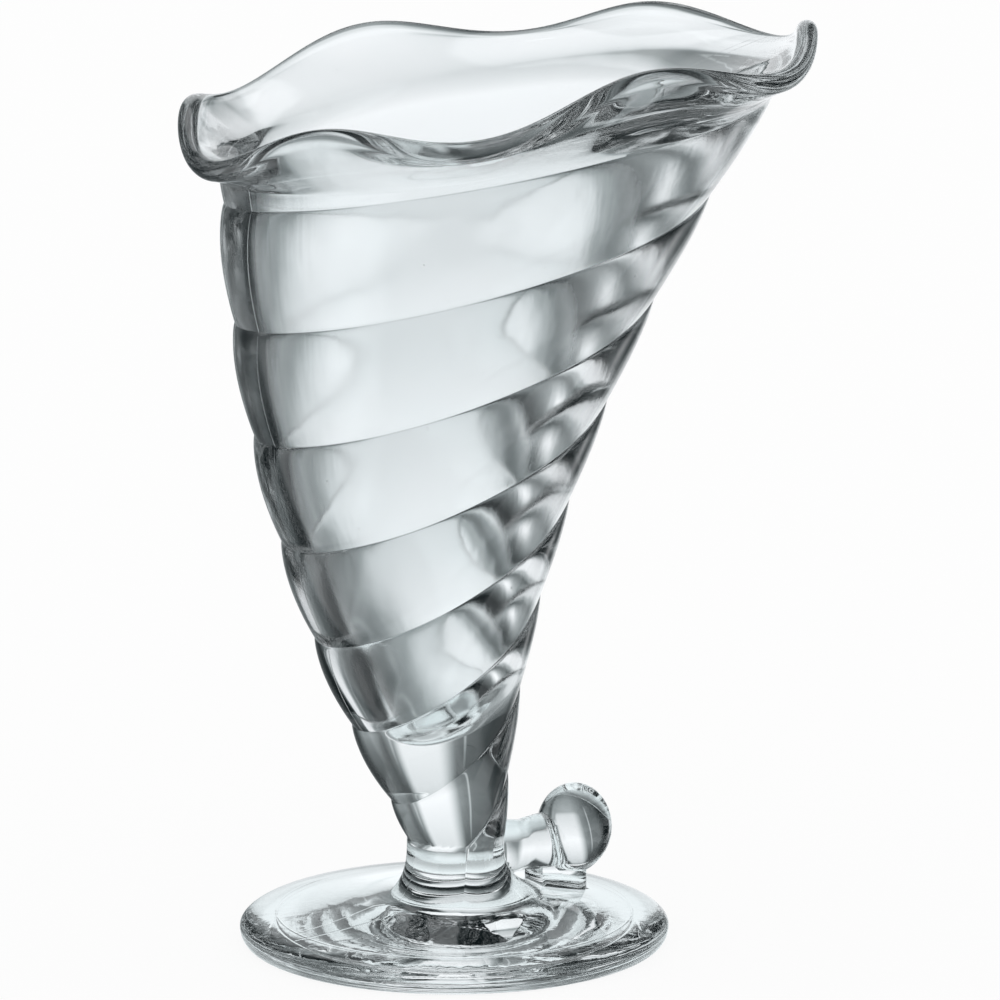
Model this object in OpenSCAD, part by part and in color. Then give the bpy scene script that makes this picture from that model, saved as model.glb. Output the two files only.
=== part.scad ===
// Parfait glass: a spiral horn of clear pressed glass on a round foot, with a wavy mouth and a curled tail.
// Millimetres. The origin is the middle of the foot's underside, Z is up and the tail points along +X.

/* [Foot] */
// Diameter of the foot
foot_d = 82; // [60:1:110]
// Height at which the foot's edge is widest
foot_edge_z = 2.6; // [1.5:0.1:5]
// Height of the foot's top where the rounded edge ends
foot_rim_z = 5.2; // [3:0.1:9]
// Width of the rounded edge on the foot's top, seen from above
foot_edge_w = 7; // [3:0.5:12]
// Width of the rounding under the foot's edge
foot_under_w = 1.6; // [0.5:0.1:4]
// Height of the foot's top under the collar
foot_top_z = 8.2; // [6:0.1:14]

/* [Collar] */
// Radius of the collar where it spreads on the foot
collar_r = 14.5; // [12:0.5:20]
// Height at which the collar meets the stem
collar_top_z = 19.5; // [16:0.5:24]
// How fast the collar narrows upwards, from 1 for a straight cone
collar_flare = 3.2; // [1:0.1:4]

/* [Horn] */
// Radius at the groove, low on the stem
horn_r_low = 9.1; // [6:0.1:14]
// Radius at the groove, halfway up
horn_r_mid = 31.1; // [20:0.1:40]
// Radius at the groove, near the mouth
horn_r_top = 52.6; // [40:0.1:65]
// Offset of the horn's axis along X, low on the stem
horn_x_low = 2.5; // [-5:0.1:10]
// Offset of the horn's axis along X, halfway up
horn_x_mid = -4; // [-12:0.1:8]
// Offset of the horn's axis along X, near the mouth
horn_x_top = 10.7; // [-5:0.1:20]
// Slope of the horn's turns low on the stem, in degrees
horn_tilt_low = 45; // [10:1:50]
// Slope of the horn's turns halfway up, in degrees
horn_tilt_mid = 21; // [5:1:35]
// Slope of the horn's turns near the mouth, in degrees
horn_tilt_top = 6.9; // [0:0.1:20]
// Mean thickness of the bowl's wall at the groove
wall = 8.3; // [6:0.1:12]
// Height of the joint between the solid stem and the bowl
bowl_z = 34; // [28:0.5:37]
// Height at which the cavity starts on the horn's axis
cavity_z = 43; // [41:0.5:60]
// Length of the cavity's rounded end
cavity_end = 6; // [2:0.5:12]
// How far the cavity stands back from the horn's axis, away from the tail, near the mouth
cavity_back = 4; // [0:0.1:5]
// Height over which the cavity leans back
cavity_lean_h = 60; // [30:1:100]

/* [Spiral] */
// Turns of the groove between its start and its end
turns = 9; // [5:1:12]
// Height at which the groove starts
spiral_z = 6; // [0:0.5:6]
// Height that the groove climbs
spiral_h = 158; // [140:1:180]
// How the turns open upwards, from 1 for equal turns
spiral_power = 0.83; // [0.6:0.01:1.2]
// Direction in which the groove starts, in degrees
spiral_angle = 80; // [0:1:359]
// How far a turn swells between its grooves, low on the stem
swell_low = 1.1; // [0.4:0.1:2.5]
// How far a turn swells between its grooves, near the mouth
swell_top = 1.3; // [0.4:0.1:3]
// How far the widest part of a turn sits above its middle, from 1 for the middle
swell_skew = 1.3; // [1:0.05:1.8]

/* [Lip] */
// Height of the joint between the bowl and the lip, on the horn's axis
lip_z = 154; // [148:0.5:157]
// Slope of the joint between the bowl and the lip, in degrees
lip_tilt = 9.5; // [0:0.5:15]
// How far the middle of the lip's rounded edge stands out from the groove at the joint
rim_out = 8; // [5:0.1:15]
// Height of the rim's middle above the joint
rim_up = 9; // [6:0.5:18]
// Shift of the rim's middle along X from the horn's axis at the joint
rim_shift = 1.2; // [-4:0.1:6]
// Slope of the rim, in degrees
rim_tilt = 8.9; // [4:0.1:12]
// Radius of the lip's rounded edge
rim_edge_r = 2; // [1:0.1:3]
// Number of waves round the rim
wave_n = 6; // [4:1:9]
// Height of a wave above the rim's plane
wave_h = 2.8; // [0:0.1:5]
// How far the low parts of the wave lean outwards
wave_out = 0.9; // [0:0.1:2]
// Share of a wave's height over which its crest stands upright
wave_upright = 0.8; // [0:0.05:1]
// Direction of the first crest, in degrees
wave_angle = 27; // [0:1:59]
// How far the rim dips at both ends of the horn's plane
rim_dip = 1.9; // [0:0.1:4]

/* [Tail] */
// Distance of the ball's middle from the foot's middle
ball_x = 26.7; // [24:0.1:32]
// Height of the ball's middle
ball_z = 18; // [15.5:0.1:22]
// Radius of the ball seen from above
ball_r = 7.3; // [6:0.1:9]
// Height of the ball above its middle
ball_up = 8.6; // [6:0.1:11]
// Depth of the ball below its middle
ball_down = 9.4; // [7:0.1:10]
// How fast the ball narrows downwards, from 1 for a round end
ball_taper = 1.3; // [1:0.05:1.6]
// Radius of the neck where it is widest
neck_r = 5.5; // [4:0.1:6.5]
// Height of the neck's middle
neck_z = 16; // [14:0.1:19]
// Depth of the groove round the neck
neck_groove = 0.7; // [0.2:0.1:1.5]
// Distance of the groove round the neck from the foot's middle
neck_groove_x = 14.6; // [12.5:0.1:16]
// Half the width of the pad under the tail
pad_r = 3.4; // [2.5:0.1:5]
// Distance of the pad's rounded end from the ball's middle, towards the stem
pad_back = 1.2; // [0:0.1:3]

/* [Hidden] */
glass = [0.80, 0.88, 0.88, 0.55];
$fn = 96;

foot_r = foot_d / 2;
foot_flat_r = collar_r + horn_x_low + 0.4;
sides = 72;
rows_a_turn = 6;
low_z = 20;
top_z = 160;
neck_start = horn_x_low;
rim_r = horn_r(lip_z) + rim_out;
rim_x = horn_x(lip_z) + rim_shift;
rim_z = lip_z + rim_up;

// Value at height s of a smooth curve through three values: at low_z, halfway and at top_z
function along(s, low, mid, top) =
    let (t = (s - low_z) / (top_z - low_z))
    low * (1 - t) * (1 - 2 * t) + 4 * mid * t * (1 - t) + top * t * (2 * t - 1);
function horn_r(s) = along(s, horn_r_low, horn_r_mid, horn_r_top);
function horn_x(s) = along(s, horn_x_low, horn_x_mid, horn_x_top);
function horn_tilt(s) = along(s, horn_tilt_low, horn_tilt_mid, horn_tilt_top);

// Turns that the groove has made at height s, and the height after m turns
function turns_at(s) = turns * pow(max(s - spiral_z, 0.01) / spiral_h, spiral_power);
function height_at(m) = spiral_z + spiral_h * pow(max(m, 0.001) / turns, 1 / spiral_power);

// Where a direction lies between two grooves at height s: 0 on the lower one, 1 on the upper one
function between(s, a) =
    let (m = turns_at(s) - (a - spiral_angle) / 360)
    m - floor(m);
function swell(s) = swell_low + (swell_top - swell_low) * (s - low_z) / (top_z - low_z);
function outer_r(s, a) = horn_r(s) + swell(s) * sin(180 * pow(between(s, a), swell_skew));
function inner_r(s) =
    let (rise = min(max((s - cavity_z) / cavity_end, 0), 1))
    (horn_r(s) - wall) * sqrt(1 - pow(1 - rise, 2));
// How far the cavity stands back from the horn's axis at height s: its punch is straighter than the horn
function cavity_shift(s) =
    let (t = min(max((s - cavity_z) / cavity_lean_h, 0), 1))
    cavity_back * t * t * (3 - 2 * t);

// Point of the horn at height s on its axis, radius r and direction a, in a section that slopes with the turns
function horn_point(s, r, a) =
    let (t = horn_tilt(s))
    [horn_x(s) + r * cos(a) * cos(t), r * sin(a), s + r * cos(a) * sin(t)];
function outer_point(s, a) = horn_point(s, outer_r(s, a), a);
function inner_point(s, a) = horn_point(s, inner_r(s), a) - [cavity_shift(s), 0, 0];

// Height of a point above a plane at height z that slopes along X
function above(p, z, slope) = p[2] - z - (p[0] - horn_x(z)) * tan(slope);
// Height on the axis at which the horn's outside or inside crosses that plane, found in a few steps
function outer_cross(z, slope, a, s, n = 9) =
    n == 0 ? s : outer_cross(z, slope, a, s - above(outer_point(s, a), z, slope), n - 1);
function inner_cross(z, slope, a, s, n = 9) =
    n == 0 ? s : inner_cross(z, slope, a, s - above(inner_point(s, a), z, slope), n - 1);

function direction(j) = 360 * j / sides;
function outer_ring(z, slope) =
    [for (j = [0 : sides - 1]) outer_point(outer_cross(z, slope, direction(j), z), direction(j))];
function inner_ring(z, slope) =
    [for (j = [0 : sides - 1]) inner_point(inner_cross(z, slope, direction(j), z), direction(j))];

// The outside of the horn between two planes: rows of points that climb with the groove, so that every groove is an edge.
// A row that leaves the space between the planes ends on the ring of points there.
function row_point(i, j) =
    outer_point(height_at(i / rows_a_turn + (direction(j) - spiral_angle) / 360), direction(j));
function first_row(z) = floor(rows_a_turn * (turns_at(z - 12) - 1 + spiral_angle / 360));
function last_row(z) = ceil(rows_a_turn * (turns_at(z + 12) + spiral_angle / 360));

function row_state(p, z0, slope0, z1, slope1, keep) =
    above(p, z0, slope0) < keep ? -1 : above(p, z1, slope1) > -keep ? 1 : 0;

// Point numbers: the rows first, then the lower ring, then the upper ring
function row_number(state, i, j, rows) =
    j == sides ? row_number(state, i + rows_a_turn, 0, rows)
    : i >= rows ? rows * sides + sides + j
    : state[i][j] < 0 ? rows * sides + j
    : state[i][j] > 0 ? rows * sides + sides + j
    : i * sides + j;

function triangle(a, b, c) = a == b || b == c || a == c ? [] : [[a, b, c]];
function row_faces(state, rows) =
    [for (i = [-1 : rows - 1]) for (j = [0 : sides - 1])
        let (a = i < 0 ? rows * sides + j : row_number(state, i, j, rows))
        let (b = i < 0 ? (j + 1 == sides ? row_number(state, i + rows_a_turn, 0, rows) : rows * sides + j + 1)
            : row_number(state, i, j + 1, rows))
        let (c = row_number(state, i + 1, j + 1, rows))
        let (d = row_number(state, i + 1, j, rows))
        each concat(triangle(a, c, b), triangle(a, d, c))];

// Triangles between two closed rings of points, from their first numbers
function ring_faces(a, b) =
    [for (j = [0 : sides - 1])
        let (k = (j + 1) % sides)
        each [[a + j, b + j, b + k], [a + j, b + k, a + k]]];
function flipped(faces) = [for (f = faces) [f[2], f[1], f[0]]];
function numbers(first) = [for (j = [0 : sides - 1]) first + j];

function horn_rows(z0, z1) =
    let (i0 = first_row(z0), i1 = last_row(z1))
    [for (i = [i0 : i1]) [for (j = [0 : sides - 1]) row_point(i, j)]];
function horn_states(points, z0, slope0, z1, slope1, keep) =
    [for (row = points) [for (p = row) row_state(p, z0, slope0, z1, slope1, keep)]];

module foot_shape() {
    edge = [for (a = [-90 : 15 : 75])
        [foot_r - (a > 0 ? foot_edge_w : foot_under_w) * (1 - cos(a)),
            foot_edge_z + (a > 0 ? foot_rim_z - foot_edge_z : foot_edge_z) * sin(a)]];
    dome_r = foot_r - foot_edge_w - foot_flat_r;
    dome = [for (t = [0 : 0.125 : 1])
        [foot_flat_r + dome_r * (1 - t), foot_rim_z + (foot_top_z - foot_rim_z) * pow(t, 1.4)]];
    rotate_extrude()
        polygon(concat([[0, 0]], edge, dome, [[0, foot_top_z]]));
}

module collar_shape() {
    steps = 6;
    base = [for (j = [0 : sides - 1])
        [collar_r * cos(direction(j)) + horn_x_low, collar_r * sin(direction(j)), foot_top_z]];
    ring = outer_ring(collar_top_z, 0);
    points = [for (i = [0 : steps]) for (j = [0 : sides - 1])
        let (t = i / steps)
        let (z = foot_top_z + (collar_top_z - foot_top_z) * t)
        let (w = 1 - pow(1 - t, collar_flare))
        [base[j][0] + (ring[j][0] - base[j][0]) * w, base[j][1] + (ring[j][1] - base[j][1]) * w, z]];
    walls = [for (i = [0 : steps - 1]) each ring_faces(i * sides, (i + 1) * sides)];
    polyhedron(points, concat([numbers(0)], walls, [[for (j = [sides - 1 : -1 : 0]) steps * sides + j]]));
}

module stem_shape() {
    rows = horn_rows(collar_top_z, bowl_z);
    state = horn_states(rows, collar_top_z, 0, bowl_z, 0, 0.6);
    n = len(rows);
    points = concat([for (row = rows) each row], outer_ring(collar_top_z, 0), outer_ring(bowl_z, 0));
    under = numbers(n * sides);
    over = [for (j = [sides - 1 : -1 : 0]) n * sides + sides + j];
    polyhedron(points, concat(row_faces(state, n), [under, over]));
}

module bowl_shape() {
    steps = 16;
    rows = horn_rows(bowl_z, lip_z);
    state = horn_states(rows, bowl_z, 0, lip_z, lip_tilt, 0.9);
    n = len(rows);
    mouth = [for (j = [0 : sides - 1]) inner_cross(lip_z, lip_tilt, direction(j), lip_z)];
    // The cavity's rings are close together in its rounded end
    cavity = [for (i = [1 : steps]) for (j = [0 : sides - 1])
        let (t = i / steps)
        inner_point(cavity_z + (mouth[j] - cavity_z) * pow(t, 1.7), direction(j))];
    tip = [horn_point(cavity_z, 0, 0)];
    points = concat([for (row = rows) each row], outer_ring(bowl_z, 0), outer_ring(lip_z, lip_tilt), cavity, tip);
    under = numbers(n * sides);
    first = (n + 2) * sides;
    last = first + (steps - 1) * sides;
    inside = [for (i = [0 : steps - 2]) each flipped(ring_faces(first + i * sides, first + (i + 1) * sides))];
    end = [for (j = [0 : sides - 1]) [first + j, first + steps * sides, first + (j + 1) % sides]];
    polyhedron(points, concat(row_faces(state, n), [under], ring_faces((n + 1) * sides, last), inside, end));
}

// Middle of the lip's rounded edge in direction a, and the two directions of its section
function rim_tip(r, z) =
    [rim_x + r * cos(rim_tilt) - z * sin(rim_tilt), rim_z + r * sin(rim_tilt) + z * cos(rim_tilt)];
function rim_wave(a) = cos(wave_n * (a - wave_angle));
function rim_point(a, out, up) =
    let (r = rim_r - wave_out * rim_wave(a) + out)
    let (z = wave_h * rim_wave(a) - rim_dip * cos(2 * a) + up)
    let (p = rim_tip(r * cos(a), z))
    [p[0], r * sin(a), p[1]];
function partway(p, q, side, up) =
    [p[0] + (q[0] - p[0]) * side, p[1] + (q[1] - p[1]) * side, p[2] + (q[2] - p[2]) * up];
function bend(p, q, r, s, t) =
    p * pow(1 - t, 3) + q * 3 * t * pow(1 - t, 2) + r * 3 * t * t * (1 - t) + s * pow(t, 3);

// Section of the lip in direction a: out from the bowl, over the rounded edge and back into the cavity. In the waves'
// troughs the lip points outwards, and at their crests its edge turns up and stands upright.
module lip_shape() {
    under_steps = 7;
    edge_steps = 6;
    inside_steps = 8;
    outer = outer_ring(lip_z, lip_tilt);
    inner = inner_ring(lip_z, lip_tilt);
    sections = [for (j = [0 : sides - 1])
        let (a = direction(j), e = rim_edge_r, crest = (1 + rim_wave(a)) / 2)
        let (edge_from = -60 + 50 * crest, edge_to = 105 + 60 * crest)
        let (fold = 2 * wave_h * wave_upright * crest)
        let (low = rim_point(a, e * cos(edge_from), e * sin(edge_from)))
        let (high = rim_point(a, e * cos(edge_to), e * sin(edge_to)))
        let (under = rim_point(a, e * cos(edge_from), e * sin(edge_from) - fold))
        let (over = rim_point(a, e * cos(edge_to), e * sin(edge_to) - fold))
        let (root = partway(outer[j], under, 0.15, 0.5))
        let (mouth = partway(inner[j], over, 0.15, 0.5))
        concat(
            [for (i = [0 : under_steps - 1]) bend(outer[j], root, under, low, i / under_steps)],
            [for (i = [0 : edge_steps])
                let (b = edge_from + (edge_to - edge_from) * i / edge_steps)
                rim_point(a, e * cos(b), e * sin(b))],
            [for (i = [1 : inside_steps]) bend(high, over, mouth, inner[j], i / inside_steps)])];
    n = len(sections[0]);
    points = [for (i = [0 : n - 1]) for (j = [0 : sides - 1]) sections[j][i]];
    walls = [for (i = [0 : n - 1]) each ring_faces(i * sides, ((i + 1) % n) * sides)];
    polyhedron(points, walls);
}

module ball_shape() {
    up = [for (a = [0 : 7.5 : 90]) [ball_r * cos(a), ball_up * sin(a)]];
    down = [for (a = [-90 : 7.5 : -7.5]) [ball_r * pow(cos(a), ball_taper), ball_down * sin(a)]];
    translate([ball_x, 0, ball_z])
        rotate_extrude()
            polygon(concat(down, up));
}

module neck_shape() {
    // Two short swellings with a groove between them, turned about the tail's axis
    reach = ball_x - neck_start;
    groove = (neck_groove_x - neck_start) / reach;
    first = [for (t = [0 : 0.125 : 0.875])
        [neck_r - neck_groove + neck_groove * sin(180 * t), reach * groove * t]];
    second = [for (t = [0 : 0.125 : 1])
        [neck_r - neck_groove + neck_groove * sin(180 * t), reach * (groove + (1 - groove) * t)]];
    difference() {
        translate([neck_start, 0, neck_z])
            rotate([0, 90, 0])
                rotate_extrude()
                    polygon(concat([[0, 0]], first, second, [[0, reach]]));
        ball_shape();
        stem_shape();
        collar_shape();
    }
}

module pad_shape() {
    difference() {
        union() {
            translate([ball_x - pad_back, 0, 0])
                cylinder(r = pad_r, h = neck_z);
            translate([foot_flat_r + 0.2, -pad_r, 0])
                cube([ball_x - pad_back - foot_flat_r - 0.2, 2 * pad_r, neck_z]);
        }
        foot_shape();
        ball_shape();
        translate([neck_start, 0, neck_z])
            rotate([0, 90, 0])
                cylinder(r = neck_r, h = ball_x);
    }
}

module foot() { color(glass) foot_shape(); }
module stem_collar() { color(glass) collar_shape(); }
module stem() { color(glass) stem_shape(); }
module bowl() { color(glass) bowl_shape(); }
module lip() { color(glass) lip_shape(); }
module tail_neck() { color(glass) neck_shape(); }
module tail_ball() { color(glass) ball_shape(); }
module tail_pad() { color(glass) pad_shape(); }

foot();
stem_collar();
stem();
bowl();
lip();
tail_neck();
tail_ball();
tail_pad();
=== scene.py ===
# %% [markdown]
# # A parfait glass
# The glass is a spiral horn of clear pressed glass on a round foot, with a wavy mouth and a curled tail
# that ends in a ball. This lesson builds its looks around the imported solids: they say where every member
# sits, and each member is made again here with a finer, smooth skin, because refraction shows every facet.

# %% Load the frame
from math import atan2, cos, degrees, pi, radians, sin, sqrt, tan

import bmesh
import bpy
from mathutils import Matrix, Vector


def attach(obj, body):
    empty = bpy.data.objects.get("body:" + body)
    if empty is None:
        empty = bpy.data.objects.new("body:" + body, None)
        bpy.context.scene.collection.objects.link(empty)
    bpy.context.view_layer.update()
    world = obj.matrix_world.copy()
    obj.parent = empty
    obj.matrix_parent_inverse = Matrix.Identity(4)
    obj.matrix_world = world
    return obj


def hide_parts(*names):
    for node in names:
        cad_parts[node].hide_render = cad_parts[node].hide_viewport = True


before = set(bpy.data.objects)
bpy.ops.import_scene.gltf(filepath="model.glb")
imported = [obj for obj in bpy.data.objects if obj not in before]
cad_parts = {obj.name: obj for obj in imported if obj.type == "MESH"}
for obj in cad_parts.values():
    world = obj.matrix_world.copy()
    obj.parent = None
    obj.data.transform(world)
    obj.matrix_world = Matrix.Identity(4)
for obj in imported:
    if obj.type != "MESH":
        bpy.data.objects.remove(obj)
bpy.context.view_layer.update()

# %% [markdown]
# ## The camera
# The photograph was taken with a long lens from a little above the rim, so the foot and the mouth both show
# as thin ellipses. The lens and the place were fitted to the foot's ellipse and to the grooves, and the
# horn's plane turned out to be turned by 30 degrees from the camera. No shift is needed, since the
# picture's middle is the lens's axis.

# %% Camera, with its film in millimetres and its place in metres
FILM_WIDTH, LENS = 36, 158.96
CAMERA_PLACE, CAMERA_AIM = (-0.4012, -0.7123, 0.2329), (0.4920, 0.8521, -0.1784)
lens_data = bpy.data.cameras.new("camera")
lens_data.sensor_width, lens_data.lens = FILM_WIDTH, LENS
camera = bpy.data.objects.new("camera", lens_data)
bpy.context.scene.collection.objects.link(camera)
camera.location = CAMERA_PLACE
camera.rotation_euler = Vector(CAMERA_AIM).to_track_quat("-Z", "Y").to_euler()
bpy.context.scene.camera = camera
print("lens", LENS, "mm, camera", round(camera.location.length, 3), "m from the foot")

# %% [markdown]
# ## The horn's skin
# On the real glass, one groove winds up the horn from the foot to the lip, and every turn swells softly
# between its grooves. A screw modifier would give equal turns, but these turns grow, lean and open. So a
# flat grid is rolled up: its columns are directions round the horn, and its rows climb along the groove, so
# that the groove is a line of the mesh. The rows lie close together at the groove, where the surface bends
# most.

# %% Shape of the horn, in millimetres and degrees
HORN_LOW, HORN_SPAN = 20, 140
GROOVE_Z, GROOVE_SPAN, GROOVE_TURNS, GROOVE_GROWTH, GROOVE_START = 6, 158, 9, 0.83, 80
SWELL_LOW, SWELL_GAIN, SWELL_SAG, SWELL_FLATNESS = 1.1, 0.2, 1.3, 0.62


def along(s, low, mid, top):
    """Smooth curve through three values: low on the stem, halfway up, and near the mouth."""
    t = (s - HORN_LOW) / HORN_SPAN
    return low * (1 - t) * (1 - 2 * t) + 4 * mid * t * (1 - t) + top * t * (2 * t - 1)


def horn_r(s):
    return along(s, 9.1, 31.1, 52.6)


def horn_x(s):
    return along(s, 2.5, -4, 10.7)


def horn_tilt(s):
    return radians(along(s, 45, 21, 6.9))


def height_after(turns):
    """How high the groove has climbed after some turns. Below its start it stays level."""
    return GROOVE_Z + GROOVE_SPAN * (max(turns, 0.001) / GROOVE_TURNS) ** (1 / GROOVE_GROWTH)


def swell(s, share):
    """How far the skin stands out at a share of the way from one groove up to the next."""
    height = SWELL_LOW + SWELL_GAIN * (s - HORN_LOW) / HORN_SPAN
    return height * sin(pi * share ** SWELL_SAG) ** SWELL_FLATNESS


def horn_point(s, r, a):
    """Point at radius r and direction a on the horn's leaning section at height s."""
    a, lean = radians(a), horn_tilt(s)
    return Vector((horn_x(s) + r * cos(a) * cos(lean), r * sin(a), s + r * cos(a) * sin(lean)))


print("radius low, mid, top:", [round(horn_r(HORN_LOW + HORN_SPAN * t), 1) for t in (0, 0.5, 1)], "mm")

# %% Roll the grid up into the horn
COLUMNS, SAME_POINT = 288, 1e-4
SHARES = [0, 0.006, 0.014, 0.03, 0.06, 0.11, 0.18, 0.26, 0.35, 0.44, 0.53, 0.62, 0.70, 0.78, 0.85, 0.905,
          0.945, 0.972, 0.986, 0.994]
rows = [(turn, share) for turn in range(-1, GROOVE_TURNS + 1) for share in SHARES]
glass = bmesh.new()
bmesh.ops.create_grid(glass, x_segments=COLUMNS, y_segments=len(rows) - 1, size=0.5)
for v in glass.verts:
    a = 360 * round((v.co.x + 0.5) * COLUMNS) / COLUMNS
    turn, share = rows[round((v.co.y + 0.5) * (len(rows) - 1))]
    s = height_after(turn + share + (a - GROOVE_START) / 360)
    v.co = horn_point(s, horn_r(s) + swell(s, share), a)
bmesh.ops.remove_doubles(glass, verts=glass.verts, dist=SAME_POINT)
print("horn's skin:", len(glass.faces), "faces")

# %% [markdown]
# ## Cutting the horn to length
# The members meet at flat joints: the stem stands on the collar, the bowl on the stem, and the lip on the
# bowl. Bisect cuts the skin along each joint's plane, so that both neighbours get the very same edge. Where
# a cut passes close by a vertex it leaves tiny edges, and these are merged.

# %% Cut the skin at the joints
COLLAR_TOP, STEM_TOP, LIP_Z, LIP_SLOPE = 19.5, 34, 154, radians(9.5)
ON_PLANE, TINY_EDGE = 1e-5, 0.03
UP, RIGHT = Vector((0, 0, 1)), Vector((1, 0, 0))
lip_up = Vector((-sin(LIP_SLOPE), 0, cos(LIP_SLOPE)))
lip_middle = Vector((horn_x(LIP_Z), 0, LIP_Z))


def cut(mesh, place, normal, drop=None):
    geom = mesh.verts[:] + mesh.edges[:] + mesh.faces[:]
    done = bmesh.ops.bisect_plane(mesh, geom=geom, dist=ON_PLANE, plane_co=place, plane_no=normal,
                                  clear_outer=drop == "above", clear_inner=drop == "below")
    ring = [v for v in done["geom_cut"] if isinstance(v, bmesh.types.BMVert)]
    bmesh.ops.remove_doubles(mesh, verts=ring, dist=TINY_EDGE)


cut(glass, (0, 0, COLLAR_TOP), UP, drop="below")
cut(glass, lip_middle, lip_up, drop="above")
cut(glass, (0, 0, STEM_TOP), UP)
MEMBERS = ["foot", "stem_collar", "stem", "bowl", "lip", "tail_neck", "tail_ball", "tail_pad", "cavity"]
for f in glass.faces:
    f.material_index = MEMBERS.index("stem" if f.calc_center_median().z < STEM_TOP else "bowl")
print("stem and bowl:", len(glass.faces), "faces")

# %% [markdown]
# ## Collar and foot
# The foot is a thick round disc with a soft edge, and the collar spreads the stem onto it. Both could be
# spun, but the stem's lower edge is no circle. So that edge is extruded ring by ring: down the collar, out
# over the foot's top, round its edge and in under it, and every ring is set to its own round.

# %% Extrude an open edge to a new ring
HORN_ROUNDS, ON_JOINT = 30, 1e-3


def direction_of(p):
    """Direction round the horn of a point on its skin."""
    s = p.z
    for _ in range(HORN_ROUNDS):
        s = p.z - (p.x - horn_x(s)) * tan(horn_tilt(s))
    return degrees(atan2(p.y, (p.x - horn_x(s)) / cos(horn_tilt(s))))


def open_ring(mesh, keep):
    """The open edges that pass a test, with each vertex's direction and first place."""
    edges = [e for e in mesh.edges if e.is_boundary and all(keep(v.co) for v in e.verts)]
    start = {v: (direction_of(v.co), v.co.copy()) for e in edges for v in e.verts}
    return edges, start


def pull(mesh, ring, place, member):
    """Extrudes a ring of edges, and puts each new vertex where place(direction, first place) says."""
    edges, start = ring
    made = bmesh.ops.extrude_edge_only(mesh, edges=edges)["geom"]
    new = {g for g in made if isinstance(g, bmesh.types.BMVert)}
    moved = {}
    for v in new:
        old = next(e.other_vert(v) for e in v.link_edges if e.other_vert(v) in start)
        moved[v] = start[old]
        v.co = place(*start[old])
    for f in (g for g in made if isinstance(g, bmesh.types.BMFace)):
        f.material_index = MEMBERS.index(member)
    return [g for g in made if isinstance(g, bmesh.types.BMEdge)], moved


ring = open_ring(glass, lambda p: abs(p.z - COLLAR_TOP) < ON_JOINT)
print("stem's lower edge:", len(ring[0]), "edges")

# %% Pull the collar
FOOT_EDGE, DOME_RISE = 2.6, 3
FOOT_RIM = 2 * FOOT_EDGE
FOOT_TOP = FOOT_RIM + DOME_RISE
COLLAR_R, COLLAR_X, COLLAR_STEPS, COLLAR_CURVE = 14.5, 2.5, 14, 3.2


def round_point(r, z, a, x=0):
    return Vector((x + r * cos(radians(a)), r * sin(radians(a)), z))


def collar_point(a, p, t):
    """Point of the collar at a share t of the way up, between a round below and the stem's own edge."""
    z = FOOT_TOP + (COLLAR_TOP - FOOT_TOP) * t
    return round_point(COLLAR_R, z, a, COLLAR_X).lerp(Vector((p.x, p.y, z)), 1 - (1 - t) ** COLLAR_CURVE)


for i in range(1, COLLAR_STEPS + 1):
    ring = pull(glass, ring, lambda a, p: collar_point(a, p, 1 - i / COLLAR_STEPS), "stem_collar")
print("collar:", COLLAR_STEPS, "rings")

# %% Pull the foot
FOOT_R, FLAT_R, SOFT_ABOVE, SOFT_BELOW = 41, 17.4, 7, 1.6
DOME_CURVE, DOME_STEPS = 1.4, 10
UNDERSIDE_RINGS = (36, 30, 24, 18, 12, 6, 2)


def dome_point(t):
    """Radius and height of the foot's top at a share t of the way in from its soft edge."""
    return FLAT_R + (FOOT_R - SOFT_ABOVE - FLAT_R) * (1 - t), FOOT_RIM + DOME_RISE * t ** DOME_CURVE


def soft_edge(b):
    """Radius and height of the foot's edge at b degrees above level, or below it."""
    width = SOFT_ABOVE if b > 0 else SOFT_BELOW
    return FOOT_R - width * (1 - cos(radians(b))), FOOT_EDGE + FOOT_EDGE * sin(radians(b))


profile = [(FLAT_R, FOOT_TOP)] + [dome_point(i / DOME_STEPS) for i in range(DOME_STEPS - 1, -1, -1)]
profile += [soft_edge(b) for b in [*range(84, -1, -6), *range(-10, -91, -10)]]
profile += [(r, 0) for r in UNDERSIDE_RINGS]
for r, z in profile:
    ring = pull(glass, ring, lambda a, p: round_point(r, z, a), "foot")
closed = bmesh.ops.contextual_create(glass, geom=ring[0])["faces"]
print("foot:", len(profile), "rings, underside closed by", len(closed), "face")

# %% [markdown]
# ## Lip and cavity
# The lip flares out from the bowl, rises and falls in six waves, and turns over in a rounded edge. Inside
# it runs down into the smooth cavity, which the plunger of the press leaves. The bowl's upper edge is
# extruded the same way: along the lip's underside, over its edge, down its inside and on to the cavity's
# rounded end.

# %% Shape of the lip
RIM_OUT, RIM_SHIFT, RIM_RISE, RIM_TILT, EDGE_R = 8, 1.2, 9, radians(8.9), 2
RIM_R, RIM_X, RIM_Z = horn_r(LIP_Z) + RIM_OUT, horn_x(LIP_Z) + RIM_SHIFT, LIP_Z + RIM_RISE
WAVES, FIRST_CREST, WAVE_UP, WAVE_IN, RIM_SAG = 6, 27, 2.8, 0.9, 1.9


def crest(a):
    """How near direction a is to a crest of the rim's waves: 0 in a trough, 1 on a crest."""
    return 0.5 + 0.5 * cos(radians(WAVES * (a - FIRST_CREST)))


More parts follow.
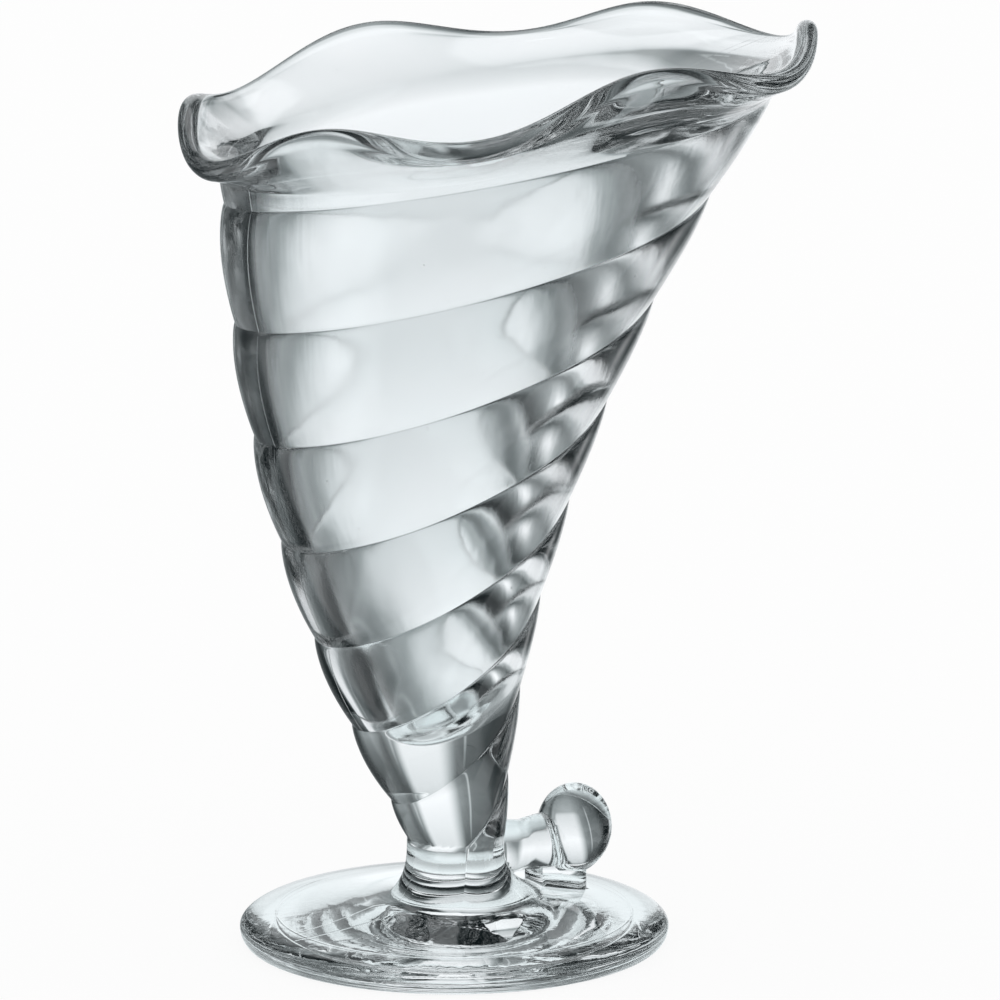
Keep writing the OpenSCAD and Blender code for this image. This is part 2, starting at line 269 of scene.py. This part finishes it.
def rim_point(a, turn, down=0):
    """Point of the lip's rounded edge in direction a, turned from level outwards, or a point below it."""
    wave = 2 * crest(a) - 1
    r = RIM_R - WAVE_IN * wave + EDGE_R * cos(radians(turn))
    z = WAVE_UP * wave - RIM_SAG * cos(radians(2 * a)) + EDGE_R * sin(radians(turn)) - down
    x = r * cos(radians(a))
    return Vector((RIM_X + x * cos(RIM_TILT) - z * sin(RIM_TILT), r * sin(radians(a)),
                   RIM_Z + x * sin(RIM_TILT) + z * cos(RIM_TILT)))


print("rim:", round(2 * RIM_R), "mm across,", WAVES, "waves")

# %% Shape of the cavity
WALL, CAVITY_Z, CAVITY_END, CAVITY_BACK, CAVITY_LEAN, MOUTH_ROUNDS = 8.3, 43, 6, 4, 60, 12


def inner_point(s, a):
    """Point of the cavity's wall. It is round at its end, and moves back as it climbs."""
    rise = min(max((s - CAVITY_Z) / CAVITY_END, 0), 1)
    lean = min(max((s - CAVITY_Z) / CAVITY_LEAN, 0), 1)
    back = CAVITY_BACK * lean * lean * (3 - 2 * lean)
    return horn_point(s, (horn_r(s) - WALL) * sqrt(1 - (1 - rise) ** 2), a) - Vector((back, 0, 0))


def cavity_mouth(a):
    """Height s at which the cavity's wall meets the lip's joint in direction a."""
    s = LIP_Z
    for _ in range(MOUTH_ROUNDS):
        p = inner_point(s, a)
        s -= p.z - LIP_Z - (p.x - horn_x(LIP_Z)) * tan(LIP_SLOPE)
    return s


ring = open_ring(glass, lambda p: p.z > LIP_Z / 2)
mouth = {a: cavity_mouth(a) for a, p in ring[1].values()}
print("cavity:", round(LIP_Z - CAVITY_Z), "mm deep to the joint, bowl's upper edge", len(ring[0]), "edges")

# %% Curves of the lip and the cavity
EDGE_START, EDGE_END, CREST_START, CREST_END, UPRIGHT = -60, 105, 50, 60, 0.8
SIDEWAYS, UPWARDS, CAVITY_SPREAD = 0.15, 0.5, 1.7


def bend(p, q, r, s, t):
    """Point of a smooth curve from p to s, drawn towards q and then r."""
    return p * (1 - t) ** 3 + q * 3 * t * (1 - t) ** 2 + r * 3 * t * t * (1 - t) + s * t ** 3


def partway(p, q):
    """Point between p and q that has gone further up than sideways."""
    return Vector((p.x + (q.x - p.x) * SIDEWAYS, p.y + (q.y - p.y) * SIDEWAYS, p.z + (q.z - p.z) * UPWARDS))


def lip_edge(a):
    """Where the rounded edge starts and ends in direction a, and how much of it stands upright."""
    near = crest(a)
    return EDGE_START + CREST_START * near, EDGE_END + CREST_END * near, 2 * WAVE_UP * UPRIGHT * near


def underside(a, p, t):
    start, _, fold = lip_edge(a)
    under = rim_point(a, start, fold)
    return bend(p, partway(p, under), under, rim_point(a, start), t)


def rounded_edge(a, p, t):
    start, end, _ = lip_edge(a)
    return rim_point(a, start + (end - start) * t)


def inside(a, p, t):
    _, end, fold = lip_edge(a)
    over, low = rim_point(a, end, fold), inner_point(mouth[a], a)
    return bend(rim_point(a, end), over, partway(low, over), low, t)


def cavity_wall(a, p, t):
    return inner_point(CAVITY_Z + (mouth[a] - CAVITY_Z) * (1 - t) ** CAVITY_SPREAD, a)


print("curves of the lip and the cavity ready")

# %% Pull the lip and the cavity
CAVITY_TIP = 0.01
STRETCHES = ((underside, 18, "lip"), (rounded_edge, 18, "lip"), (inside, 22, "lip"),
             (cavity_wall, 48, "cavity"))
for curve, steps, member in STRETCHES:
    for i in range(1, steps + 1):
        ring = pull(glass, ring, lambda a, p: curve(a, p, i / steps), member)
bmesh.ops.remove_doubles(glass, verts=list(ring[1]), dist=CAVITY_TIP)
bmesh.ops.recalc_face_normals(glass, faces=glass.faces)
loose = sum(not e.is_manifold for e in glass.edges)
print("glass without its tail:", len(glass.faces), "faces,", loose, "open edges")

# %% [markdown]
# ## The tail
# The horn's thin end curls out of the stem: a short neck with a groove round it, an egg-shaped ball, and a
# small pad that carries the ball on the foot. The neck and the ball are round, so each is a profile that
# spin turns about its own axis. The pad has a straight back, so it is a circle with one half made flat,
# raised by extrude.

# %% Spin a profile about an axis
ROUND_STEPS = 96


def spun(profile, place, axis, side, member):
    """A closed round solid from (radius, distance along the axis) pairs."""
    mesh = bmesh.new()
    points = [mesh.verts.new(place + axis * z + side * r) for r, z in profile]
    lines = [mesh.edges.new(pair) for pair in zip(points, points[1:])]
    bmesh.ops.spin(mesh, geom=points + lines, cent=place, axis=axis, angle=2 * pi, steps=ROUND_STEPS,
                   use_merge=True)
    bmesh.ops.remove_doubles(mesh, verts=mesh.verts, dist=SAME_POINT)
    bmesh.ops.recalc_face_normals(mesh, faces=mesh.faces)
    for f in mesh.faces:
        f.material_index = MEMBERS.index(member)
    return mesh


BALL, BALL_R, BALL_LOW, BALL_HIGH, BALL_POINT = Vector((26.7, 0, 18)), 7.3, 9.4, 8.6, 1.3
egg = [(BALL_R * max(cos(radians(b)), 0) ** BALL_POINT, BALL_LOW * sin(radians(b))) for b in range(-90, 0, 3)]
egg += [(BALL_R * max(cos(radians(b)), 0), BALL_HIGH * sin(radians(b))) for b in range(0, 91, 3)]
ball = spun(egg, BALL, UP, RIGHT, "tail_ball")
print("ball:", len(ball.faces), "faces")

# %% Spin the neck
NECK, NECK_GROOVE_X, NECK_R, NECK_SWELL, NECK_STEPS = Vector((2.5, 0, 16)), 14.6, 4.8, 0.7, 16
NECK_END, NECK_GROOVE = BALL.x - NECK.x, NECK_GROOVE_X - NECK.x


def neck_point(i, start, end):
    """Point of one of the neck's two swells."""
    return NECK_R + NECK_SWELL * sin(pi * i / NECK_STEPS), start + (end - start) * i / NECK_STEPS


barrel = [(0, 0)] + [neck_point(i, 0, NECK_GROOVE) for i in range(NECK_STEPS)]
barrel += [neck_point(i, NECK_GROOVE, NECK_END) for i in range(NECK_STEPS + 1)] + [(0, NECK_END)]
neck = spun(barrel, NECK, RIGHT, UP, "tail_neck")
print("neck:", len(neck.faces), "faces")

# %% Make the pad
PAD_R, PAD_X, PAD_Z, PAD_RISE, PAD_SIDES, PAD_GAP = 3.4, 25.5, 3, 13, 64, 0.2
PAD_BACK = FLAT_R + PAD_GAP
pad = bmesh.new()
bmesh.ops.create_circle(pad, cap_ends=True, segments=PAD_SIDES, radius=PAD_R,
                        matrix=Matrix.Translation((PAD_X, 0, PAD_Z)))
for v in pad.verts:
    if v.co.x < PAD_X - SAME_POINT:
        v.co = (PAD_BACK, v.co.y, v.co.z)
bmesh.ops.remove_doubles(pad, verts=pad.verts, dist=SAME_POINT)
raised = bmesh.ops.extrude_face_region(pad, geom=pad.faces[:])["geom"]
top = [g for g in raised if isinstance(g, bmesh.types.BMVert)]
bmesh.ops.translate(pad, verts=top, vec=(0, 0, PAD_RISE))
bmesh.ops.recalc_face_normals(pad, faces=pad.faces)
for f in pad.faces:
    f.material_index = MEMBERS.index("tail_pad")
print("pad:", len(pad.faces), "faces")

# %% [markdown]
# ## Fusing the tail on
# The press fuses the tail to the stem and to the foot, so inside the glass there is no wall between them. A
# union by the Boolean modifier gives that: one closed skin, whose faces still know, by their material
# number, which member they are.

# %% Union of the horn and its tail
placeholders = [bpy.data.materials.new("member_" + m) for m in MEMBERS]


def as_object(mesh, name):
    data = bpy.data.meshes.new(name)
    mesh.to_mesh(data)
    for m in placeholders:
        data.materials.append(m)
    made = bpy.data.objects.new(name, data)
    bpy.context.scene.collection.objects.link(made)
    return made


whole = as_object(glass, "whole")
tools = [as_object(m, n) for m, n in ((neck, "neck_tool"), (ball, "ball_tool"), (pad, "pad_tool"))]
for tool in tools:
    fuse = whole.modifiers.new(tool.name, "BOOLEAN")
    fuse.operation, fuse.solver, fuse.object, fuse.material_mode = "UNION", "EXACT", tool, "INDEX"
fused = bmesh.new()
fused.from_object(whole, bpy.context.evaluated_depsgraph_get())
for o in [whole, *tools]:
    bpy.data.objects.remove(o)
print("fused glass:", len(fused.faces), "faces,", sum(not e.is_manifold for e in fused.edges), "open edges")

# %% Turn millimetres into metres, and keep the skin's normals
MILLIMETRE = 0.001
bmesh.ops.scale(fused, vec=(MILLIMETRE, MILLIMETRE, MILLIMETRE), verts=fused.verts)
fused.normal_update()
smooth = fused.verts.layers.float_vector.new("skin_normal")
for v in fused.verts:
    v[smooth] = v.normal
count = {m: sum(f.material_index == i for f in fused.faces) for i, m in enumerate(MEMBERS)}
print("faces of each member:", count)

# %% [markdown]
# ## Shader maths
# The finishes and the lights are formulas. Their nodes could be added and linked one by one, but then a
# formula is lost among its links. So a small class wraps a node's output, and sums and products of outputs
# are written as Python sums and products.

# %% The class for shader maths
class Wire:
    """An output of a shader node. Operators on it add Math nodes, and node() adds any other node."""

    def __init__(self, tree, socket=None):
        self.tree, self.socket = tree, socket

    def node(self, kind, settings=None, inputs=None, out=0):
        n = self.tree.nodes.new(kind)
        for key, value in (settings or {}).items():
            setattr(n, key, value)
        for key, value in (inputs or {}).items():
            if isinstance(value, Wire):
                self.tree.links.new(value.socket, n.inputs[key])
            else:
                n.inputs[key].default_value = value
        return Wire(self.tree, n.outputs[out] if n.outputs else None)

    def out(self, name):
        """Another output of the same node."""
        return Wire(self.tree, self.socket.node.outputs[name])

    def math(self, operation, a, b=0.0):
        return self.node("ShaderNodeMath", {"operation": operation}, {0: a, 1: b})

    def __add__(self, other):
        return self.math("ADD", self, other)

    def __radd__(self, other):
        return self.math("ADD", other, self)

    def __sub__(self, other):
        return self.math("SUBTRACT", self, other)

    def __rsub__(self, other):
        return self.math("SUBTRACT", other, self)

    def __mul__(self, other):
        return self.math("MULTIPLY", self, other)

    def __rmul__(self, other):
        return self.math("MULTIPLY", other, self)

    def __lt__(self, other):
        return self.math("LESS_THAN", self, other)

    def __gt__(self, other):
        return self.math("GREATER_THAN", self, other)


def new_shader(owner):
    owner.use_nodes = True
    owner.node_tree.nodes.clear()
    return Wire(owner.node_tree)


print("shader maths ready")

# %% [markdown]
# ## Clear pressed glass
# The glass is clear and fire-polished, so it is almost a perfect lens. What makes it look real is small: a
# slow waviness from the mould, tiny specks, a fine seam where the mould's halves meet, and a breath of
# colour. The waves are about a tenth of a millimetre high and the marks only hundredths, since more would
# look like frosted glass. The fire hardly reaches into the cavity, so its wall keeps the plunger's fine
# upright marks and a little haze. The foot keeps a ring from the mould and soft smudges.

# %% Marks of the press: places in metres, relief in millimetres
SEAM_WIDTH, SEAM_RELIEF = 0.00012, 0.02
FOOT_SEAM_X, FOOT_SEAM_WIDTH, FOOT_SEAM_RELIEF = -0.015, 0.00015, 0.05
RING_R, RING_WIDTH, RING_RELIEF = 0.034, 0.0002, 0.03
SMUDGE_SCALE, SMUDGE_SWIRL, SMUDGE_RELIEF = 130.0, 1.5, 0.03
PLUNGER_SCALE, PLUNGER_STRETCH, PLUNGER_RELIEF = 700.0, (1, 1, 0.05), 0.012


def spot(x, middle, width):
    """1 at the middle, and softly down to 0 on both sides."""
    off = (x - middle) * (1 / width)
    return x.math("EXPONENT", off * off * -1)


def noise(w, place, scale, stretch=(1, 1, 1), swirl=0.0):
    longer = w.node("ShaderNodeVectorMath", {"operation": "MULTIPLY"}, {0: place, 1: stretch})
    return w.node("ShaderNodeTexNoise", None,
                  {"Vector": longer, "Scale": scale, "Detail": 2.0, "Distortion": swirl})


def seam_marks(w, place):
    x = w.node("ShaderNodeSeparateXYZ", None, {0: place})
    return spot(x.out(1), 0, SEAM_WIDTH) * SEAM_RELIEF


def foot_marks(w, place):
    x = w.node("ShaderNodeSeparateXYZ", None, {0: place})
    away = w.math("SQRT", x * x + x.out(1) * x.out(1))
    seam = spot(x.out(1), 0, FOOT_SEAM_WIDTH) * (x < FOOT_SEAM_X) * (away < RING_R)
    smudge = noise(w, place, SMUDGE_SCALE, swirl=SMUDGE_SWIRL)
    return seam * FOOT_SEAM_RELIEF + spot(away, RING_R, RING_WIDTH) * RING_RELIEF + smudge * SMUDGE_RELIEF


def plunger_marks(w, place):
    return noise(w, place, PLUNGER_SCALE, stretch=PLUNGER_STRETCH) * PLUNGER_RELIEF


print("marks ready")

# %% Glass
WAVE_SCALE, GLASS_IOR = 55.0, 1.52
SPECK_SCALE, SPECK_CHANCE, SPECK_SIZE, SPECK_RELIEF, SPECK_HAZE = 260.0, 0.35, 0.05, 0.02, 0.15
SEA_TINT, PALE_TINT = (0.950, 0.982, 0.984, 1), (0.985, 0.995, 0.998, 1)


def pressed_glass(name, wave=0.2, haze=0.0, marks=seam_marks):
    """Clear glass with the height of its waves in millimetres, and haze as roughness."""
    made = bpy.data.materials.new(name)
    w = new_shader(made)
    place = w.node("ShaderNodeTexCoord", out="Object")
    slow = noise(w, place, WAVE_SCALE)
    tint = w.node("ShaderNodeMix", {"data_type": "RGBA"}, {0: slow, 6: SEA_TINT, 7: PALE_TINT}, out=2)
    cells = w.node("ShaderNodeTexVoronoi", None, {"Vector": place, "Scale": SPECK_SCALE})
    chosen = w.node("ShaderNodeSeparateColor", None, {"Color": cells.out("Color")}) < SPECK_CHANCE
    speck = (cells < SPECK_SIZE) * chosen
    relief = slow * wave + speck * SPECK_RELIEF + marks(w, place)
    bump = w.node("ShaderNodeBump", None, {"Strength": 1.0, "Distance": MILLIMETRE, "Height": relief})
    skin = w.node("ShaderNodeBsdfPrincipled", None,
                  {"Base Color": tint, "Roughness": speck * SPECK_HAZE + slow * haze, "IOR": GLASS_IOR,
                   "Transmission Weight": 1.0, "Normal": bump})
    w.node("ShaderNodeOutputMaterial", None, {"Surface": skin})
    return made


finish = {m: pressed_glass(m + "_glass") for m in MEMBERS if m not in ("foot", "cavity")}
finish["foot"] = pressed_glass("foot_glass", wave=0.12, marks=foot_marks)
finish["cavity"] = pressed_glass("cavity_glass", wave=0.1, haze=0.24, marks=plunger_marks)
print("finishes:", sorted(f.name for f in finish.values()))

# %% [markdown]
# ## Joints that the eye doesn't see
# Where two members are fused, light passes from one to the other without bending. So each member is closed
# at its joints by faces with a plain see-through finish, and only the outer skin refracts. The skin's
# normals are taken from the fused skin, so that the shading runs on across a joint.

# %% Finish of the fused joints
joint = bpy.data.materials.new("fused_joint")
w = new_shader(joint)
w.node("ShaderNodeOutputMaterial", None, {"Surface": w.node("ShaderNodeBsdfTransparent")})
print("joint finish:", joint.name)

# %% Take one member out of the fused skin
def member_piece(kinds):
    """A closed mesh of one member, and how many faces close its joints."""
    mesh = fused.copy()
    numbers = [MEMBERS.index(k) for k in kinds]
    others = [f for f in mesh.faces if f.material_index not in numbers]
    bmesh.ops.delete(mesh, geom=others, context="FACES")
    for f in mesh.faces:
        f.material_index = numbers.index(f.material_index)
        f.smooth = True
    edges = [e for e in mesh.edges if e.is_boundary]
    high = [e for e in edges if e.verts[0].co.z > LIP_Z / 2 * MILLIMETRE]
    low = [e for e in edges if e not in high]
    caps = []
    if high:
        caps += bmesh.ops.bridge_loops(mesh, edges=high)["faces"]
    if low:
        caps += bmesh.ops.holes_fill(mesh, edges=low, sides=0)["faces"]
    for f in caps:
        f.material_index = len(kinds)
        f.smooth = False
    return mesh, len(caps)


def skin_normals(data):
    """A normal for every corner: the fused skin's on the skin, and the face's own at a joint."""
    kept = data.attributes["skin_normal"].data
    normals = [kept[i].vector if p.use_smooth else p.normal for p in data.polygons for i in p.vertices]
    return [Vector(n).normalized() for n in normals]


print("members to take:", MEMBERS[:-1])

# %% Make the eight pieces
for member in MEMBERS[:-1]:
    kinds = ["bowl", "cavity"] if member == "bowl" else [member]
    mesh, caps = member_piece(kinds)
    data = bpy.data.meshes.new("clear_" + member)
    mesh.to_mesh(data)
    for k in kinds:
        data.materials.append(finish[k])
    data.materials.append(joint)
    data.normals_split_custom_set(skin_normals(data))
    piece = bpy.data.objects.new("clear_" + member, data)
    bpy.context.scene.collection.objects.link(piece)
    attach(piece, "root")
    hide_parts(member)
    print(piece.name, len(data.polygons), "faces,", caps, "at joints,",
          sum(not e.is_manifold for e in mesh.edges), "open edges")
    mesh.free()
for m in placeholders:
    bpy.data.materials.remove(m)

# %% [markdown]
# ## The studio
# Glass has no look of its own: it shows what stands round it. The reflections in the photograph suggest a
# bright panel behind the glass, with dark cloth to its left, a dim wall to its right and a softbox above,
# and these draw the dark edges and the grey bands. Area lamps could stand there, but each has one even
# glow. So one big tent carries all the lights as a pattern that can fade. It stands still when the camera
# goes round, so it has a bright panel far to the left and far to the right too. The tent is for the glass
# alone: the camera sees the white floor and the white world.

# %% Shapes of light, by direction in degrees
def step(x, low, high, kind="SMOOTHSTEP", start=0.0, end=1.0):
    """From start to end as x goes from low to high."""
    return x.node("ShaderNodeMapRange", {"interpolation_type": kind},
                  {"Value": x, "From Min": low, "From Max": high, "To Min": start, "To Max": end})


def fall(x, low, high):
    return step(x, low, high, start=1.0, end=0.0)


def band(x, low, high, soft):
    """1 between low and high, with soft ends."""
    return step(x, low - soft, low + soft) * fall(x, high - soft, high + soft)


def ramp(x, points):
    """Straight pieces from point to point, and level beyond them."""
    total = points[0][1]
    for (x0, y0), (x1, y1) in zip(points, points[1:]):
        total = step(x, x0, x1, "LINEAR", 0.0, y1 - y0) + total
    return total


print("shapes of light ready")

# %% Directions seen from the glass
LEAN = 0.3
lit = bpy.data.materials.new("tent_light")
w = new_shader(lit)
place = w.node("ShaderNodeTexCoord", out="Object")
x = w.node("ShaderNodeSeparateXYZ", None,
           {0: w.node("ShaderNodeVectorMath", {"operation": "NORMALIZE"}, {0: place})})
turn = w.math("ARCTAN2", x, x.out(2) * -1) * degrees(1)
rise = w.math("ARCSINE", x.out(1)) * degrees(1)
lean = turn + rise * LEAN
print("directions: turn, rise and a lean of", LEAN)

# %% Panel and walls, each a pattern on the tent
PANEL_LEFT, PANEL_RIGHT, PANEL_RISE = (-15, -1), (16, 24), (-20, 46, 5)
PANEL_GLOW, PANEL_MIDDLE, PANEL_FADE = 1.05, 6, 0.012
WALL_TURNS = [(-54, 0), (-41, 0.01), (-36, 0.05), (-30, 0.12), (-20, 0.17), (-14, 0.22), (-5, 0.4), (0, 0.5),
              (10, 0.5), (22, 0.40), (27, 0.12), (34, 0.32), (44, 0.34), (52, 0.12), (58, 0)]
WALL_RISES = [(-60, 0), (-45, 0.3), (-35, 0.6), (-20, 0.9), (0, 1), (10, 1), (20, 0.5), (32, 0.12), (48, 0)]
EDGE_LEFT, EDGE_RIGHT, EDGE_WIDTH, EDGE_RISE, EDGE_DIMMER = -17, 22.5, 0.7, (-22, 20, 6), 0.5
panel = step(lean, *PANEL_LEFT) * fall(lean, *PANEL_RIGHT) * band(rise, *PANEL_RISE)
panel = panel * (PANEL_GLOW - w.math("ABSOLUTE", rise - PANEL_MIDDLE) * PANEL_FADE)
walls = ramp(lean, WALL_TURNS) * ramp(rise, WALL_RISES)
edges = spot(lean, EDGE_LEFT, EDGE_WIDTH) + spot(lean, EDGE_RIGHT, EDGE_WIDTH) * EDGE_DIMMER
edges = edges * band(rise, *EDGE_RISE)
print("panel and walls:", len(w.tree.nodes), "nodes")

# %% Lamp, softbox and side panels
LAMP_TURN, LAMP_RISE = (44, 6), (-12, 5)
SOFTBOX_TURN, SOFTBOX_RISE = (-33, 33, 4), (48, 70, 3)
LEFT_TURN, LEFT_RISE = (-136, -60, 4), (-52, 5, 6)
RIGHT_TURN, RIGHT_RISE = (80, 132, 4), (-45, 0, 6)
lamp = spot(turn, *LAMP_TURN) * spot(rise, *LAMP_RISE)
softbox = band(turn, *SOFTBOX_TURN) * band(rise, *SOFTBOX_RISE)
left_panel = band(turn, *LEFT_TURN) * band(rise, *LEFT_RISE)
right_panel = band(turn, *RIGHT_TURN) * band(rise, *RIGHT_RISE)
print("with the lamps:", len(w.tree.nodes), "nodes")

# %% Light of the tent
EDGE_GLOW, LAMP_GLOW, SIDE_GLOW = 0.35, 0.9, 0.75
DIM_RED, RED_GAIN, BLUE_GAIN, DARK = 0.89, 0.095, 1.02, (0.004, 0.007, 0.008)
glow = w.math("MAXIMUM", panel, walls) + edges * EDGE_GLOW + lamp * LAMP_GLOW + softbox
glow = glow + (left_panel + right_panel) * SIDE_GLOW
red = w.math("MINIMUM", glow, 1.0) * RED_GAIN + DIM_RED
colour = w.node("ShaderNodeCombineColor", None,
                {0: glow * red + DARK[0], 1: glow + DARK[1], 2: glow * BLUE_GAIN + DARK[2]})
w.node("ShaderNodeOutputMaterial", None, {"Surface": w.node("ShaderNodeEmission", None, {"Color": colour})})
print("light of the tent:", len(w.tree.nodes), "nodes")

# %% Tent
TENT_R, TENT_Z = 4, 0.087


def stage_object(name, mesh, material):
    data = bpy.data.meshes.new(name)
    mesh.to_mesh(data)
    data.materials.append(material)
    made = bpy.data.objects.new(name, data)
    bpy.context.scene.collection.objects.link(made)
    return made


mesh = bmesh.new()
bmesh.ops.create_uvsphere(mesh, u_segments=64, v_segments=32, radius=TENT_R)
tent = stage_object("tent", mesh, lit)
tent.location, tent.rotation_euler = (0, 0, TENT_Z), camera.rotation_euler
tent.visible_camera = tent.visible_diffuse = tent.visible_shadow = False
print("tent:", round(tent.dimensions.x, 1), "m across")

# %% [markdown]
# ## The floor
# The glass stands on a plain white floor. A painted floor would go grey under soft light, so to the camera
# most of it is its own white light, and the rest is paint that keeps the glass's shadow. Through the glass
# only a glowing patch near the foot is seen, with a painted shadow under the stem, where little light falls.
# Beyond the patch the glass looks through the floor to the tent, because a wide bright floor would wash out
# the dark edges.

# %% Finish of the floor
# SHADE is a painted shadow under the stem, in the patch's own light; PATCH is the patch's glow.
SHADE, PATCH = (0.52, 0.56, 0.57, 1), (0.90, 0.97, 0.99, 1)
PAINT, WHITE = (0.9, 0.9, 0.9, 1), (1, 1, 1, 1)
SHADE_RADII, PATCH_RADII, PATCH_MIDDLE = (0.008, 0.020), (0.040, 0.056), (-0.007, -0.012, 0)
OWN_LIGHT = 0.92
pale = bpy.data.materials.new("pale_floor")
w = new_shader(pale)
seen = w.node("ShaderNodeLightPath", out="Is Camera Ray")
through = w.math("MINIMUM", seen.out("Is Glossy Ray") + seen.out("Is Transmission Ray"), 1.0)
place = w.node("ShaderNodeTexCoord", out="Object")
away = w.node("ShaderNodeVectorMath", {"operation": "LENGTH"}, {0: place}, "Value")
ahead = w.node("ShaderNodeVectorMath", {"operation": "DISTANCE"}, {0: place, 1: PATCH_MIDDLE}, "Value")
# The patch's glow, with the painted shadow of the stem inside SHADE_RADII
shade = w.node("ShaderNodeMix", {"data_type": "RGBA"},
               {0: step(away, *SHADE_RADII), 6: SHADE, 7: PATCH}, out=2)
paint = w.node("ShaderNodeBsdfDiffuse", None, {"Color": PAINT})
white = w.node("ShaderNodeEmission", None, {"Color": WHITE})
near = w.node("ShaderNodeEmission", None, {"Color": shade})
clear = w.node("ShaderNodeBsdfTransparent")
under = w.node("ShaderNodeMixShader", None, {0: step(ahead, *PATCH_RADII), 1: near, 2: clear})
shown = w.node("ShaderNodeMixShader", None, {0: OWN_LIGHT, 1: paint, 2: white})
other = w.node("ShaderNodeMixShader", None, {0: through, 1: paint, 2: under})
surface = w.node("ShaderNodeMixShader", None, {0: seen, 1: other, 2: shown})
w.node("ShaderNodeOutputMaterial", None, {"Surface": surface})
print("floor's finish:", len(w.tree.nodes), "nodes")

# %% Floor
FLOOR_HALF, FLOOR_Z = 4, -0.0002
mesh = bmesh.new()
bmesh.ops.create_grid(mesh, x_segments=1, y_segments=1, size=FLOOR_HALF)
floor = stage_object("floor", mesh, pale)
floor.location.z = FLOOR_Z
print("floor:", round(floor.dimensions.x, 1), "m wide")

# %% [markdown]
# ## The world
# The world is the backdrop. To the camera it is white, and as light it is a little dimmer, so that the paint
# of the floor renders about as it is written.

# %% World
SOFT_LIGHT = (0.9, 0.9, 0.9, 1)
world = bpy.data.worlds.new("studio")
bpy.context.scene.world = world
w = new_shader(world)
seen = w.node("ShaderNodeLightPath", out="Is Camera Ray")
tone = w.node("ShaderNodeMix", {"data_type": "RGBA"}, {0: seen, 6: SOFT_LIGHT, 7: WHITE}, out=2)
w.node("ShaderNodeOutputWorld", None, {"Surface": w.node("ShaderNodeBackground", None, {"Color": tone})})
print("world: white to the camera,", SOFT_LIGHT[0], "as light")

# %% [markdown]
# ## Enough bounces
# A ray can run round inside thick glass many times before it gets out, and a mirror bounce inside counts as
# a glossy one. With too few bounces those rays end black, and the foot and the lip go dark.

# %% Finish
BOUNCES = 48
bpy.context.scene.view_settings.view_transform = "Standard"
cycles = bpy.context.scene.cycles
cycles.max_bounces = cycles.glossy_bounces = BOUNCES
cycles.transmission_bounces = cycles.transparent_max_bounces = BOUNCES
print("bounces:", cycles.max_bounces)
